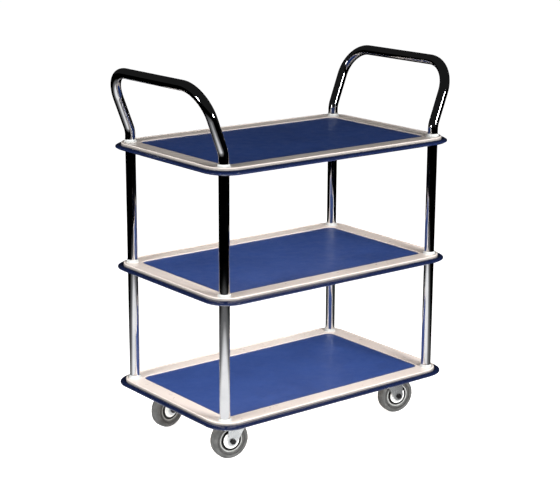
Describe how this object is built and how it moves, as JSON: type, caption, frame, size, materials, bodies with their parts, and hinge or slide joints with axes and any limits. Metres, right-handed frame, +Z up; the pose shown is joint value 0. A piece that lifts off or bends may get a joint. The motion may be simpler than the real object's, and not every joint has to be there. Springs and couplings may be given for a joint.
{
  "type": "shelf trolley",
  "caption": "Shelf trolley: recessed steel decks with rubber mats on chromed tube posts, a leaning tube handle at each end, swivel casters.",
  "frame": {"origin": "on the floor under the middle of the trolley", "axes": "+X along the length, +Y to the back, +Z up; a handle stands at each end of X"},
  "size_m": [0.7894, 0.476, 0.9277],
  "materials": {
    "enamelled_steel": "gloss cream enamel",
    "mat_rubber": "smooth semi-gloss",
    "bumper_vinyl": "gloss soft vinyl",
    "chrome_tube": "bright chrome plate",
    "zinc_steel": "bright zinc plate",
    "ball_steel": "polished",
    "black_steel": "black oxide",
    "hub_white": "satin",
    "grey_tyre": "non-marking grey rubber"
  },
  "bodies": {
    "root": {"lower_deck": "enamelled_steel", "lower_mat": "mat_rubber", "lower_bumper": "bumper_vinyl", "lower_deck_channels": "enamelled_steel", "lower_deck_collars": "chrome_tube", "middle_deck": "enamelled_steel", "middle_mat": "mat_rubber", "middle_bumper": "bumper_vinyl", "middle_deck_channels": "enamelled_steel", "middle_deck_collars": "chrome_tube", "upper_deck": "enamelled_steel", "upper_mat": "mat_rubber", "upper_bumper": "bumper_vinyl", "upper_deck_channels": "enamelled_steel", "upper_deck_collars": "chrome_tube", "lower_upright_front_left": "chrome_tube", "lower_upright_front_right": "chrome_tube", "lower_upright_rear_left": "chrome_tube", "lower_upright_rear_right": "chrome_tube", "upper_upright_front_left": "chrome_tube", "upper_upright_front_right": "chrome_tube", "upper_upright_rear_left": "chrome_tube", "upper_upright_rear_right": "chrome_tube", "left_handle": "chrome_tube", "right_handle": "chrome_tube", "tube_plugs": "zinc_steel", "joining_studs": "zinc_steel", "base_bolts": "zinc_steel", "base_washers": "zinc_steel", "caster_studs": "zinc_steel", "caster_nuts": "zinc_steel", "front_left_caster_plate": "zinc_steel", "front_left_king_pin": "zinc_steel", "front_right_caster_plate": "zinc_steel", "front_right_king_pin": "zinc_steel", "rear_left_caster_plate": "zinc_steel", "rear_left_king_pin": "zinc_steel", "rear_right_caster_plate": "zinc_steel", "rear_right_king_pin": "zinc_steel"},
    "front_left_swivel": {"front_left_fork": "zinc_steel", "front_left_axle": "black_steel", "front_left_race_balls": "ball_steel"},
    "front_left_wheel": {"front_left_hub": "hub_white", "front_left_tyre": "grey_tyre"},
    "front_right_swivel": {"front_right_fork": "zinc_steel", "front_right_axle": "black_steel", "front_right_race_balls": "ball_steel"},
    "front_right_wheel": {"front_right_hub": "hub_white", "front_right_tyre": "grey_tyre"},
    "rear_left_swivel": {"rear_left_fork": "zinc_steel", "rear_left_axle": "black_steel", "rear_left_race_balls": "ball_steel"},
    "rear_left_wheel": {"rear_left_hub": "hub_white", "rear_left_tyre": "grey_tyre"},
    "rear_right_swivel": {"rear_right_fork": "zinc_steel", "rear_right_axle": "black_steel", "rear_right_race_balls": "ball_steel"},
    "rear_right_wheel": {"rear_right_hub": "hub_white", "rear_right_tyre": "grey_tyre"}
  },
  "joints": [
    {"name": "front_left_swivel_turn", "type": "hinge", "parent": "root", "child": "front_left_swivel", "pos_m": [-0.243, -0.136, 0.116], "axis": [0, 0, 1], "continuous": true},
    {"name": "front_left_wheel_turn", "type": "hinge", "parent": "front_left_swivel", "child": "front_left_wheel", "pos_m": [-0.26664, -0.13183, 0.0475], "axis": [-0.1736, -0.9848, 0], "continuous": true},
    {"name": "front_right_swivel_turn", "type": "hinge", "parent": "root", "child": "front_right_swivel", "pos_m": [0.243, -0.136, 0.116], "axis": [0, 0, 1], "continuous": true},
    {"name": "front_right_wheel_turn", "type": "hinge", "parent": "front_right_swivel", "child": "front_right_wheel", "pos_m": [0.26656, -0.14058, 0.0475], "axis": [0.1908, 0.9816, 0], "continuous": true},
    {"name": "rear_left_swivel_turn", "type": "hinge", "parent": "root", "child": "rear_left_swivel", "pos_m": [-0.243, 0.136, 0.116], "axis": [0, 0, 1], "continuous": true},
    {"name": "rear_left_wheel_turn", "type": "hinge", "parent": "rear_left_swivel", "child": "rear_left_wheel", "pos_m": [-0.26677, 0.13266, 0.0475], "axis": [0.1392, -0.9903, 0], "continuous": true},
    {"name": "rear_right_swivel_turn", "type": "hinge", "parent": "root", "child": "rear_right_swivel", "pos_m": [0.243, 0.136, 0.116], "axis": [0, 0, 1], "continuous": true},
    {"name": "rear_right_wheel_turn", "type": "hinge", "parent": "rear_right_swivel", "child": "rear_right_wheel", "pos_m": [0.26687, 0.13349, 0.0475], "axis": [0.1045, 0.9945, 0], "continuous": true}
  ]
}
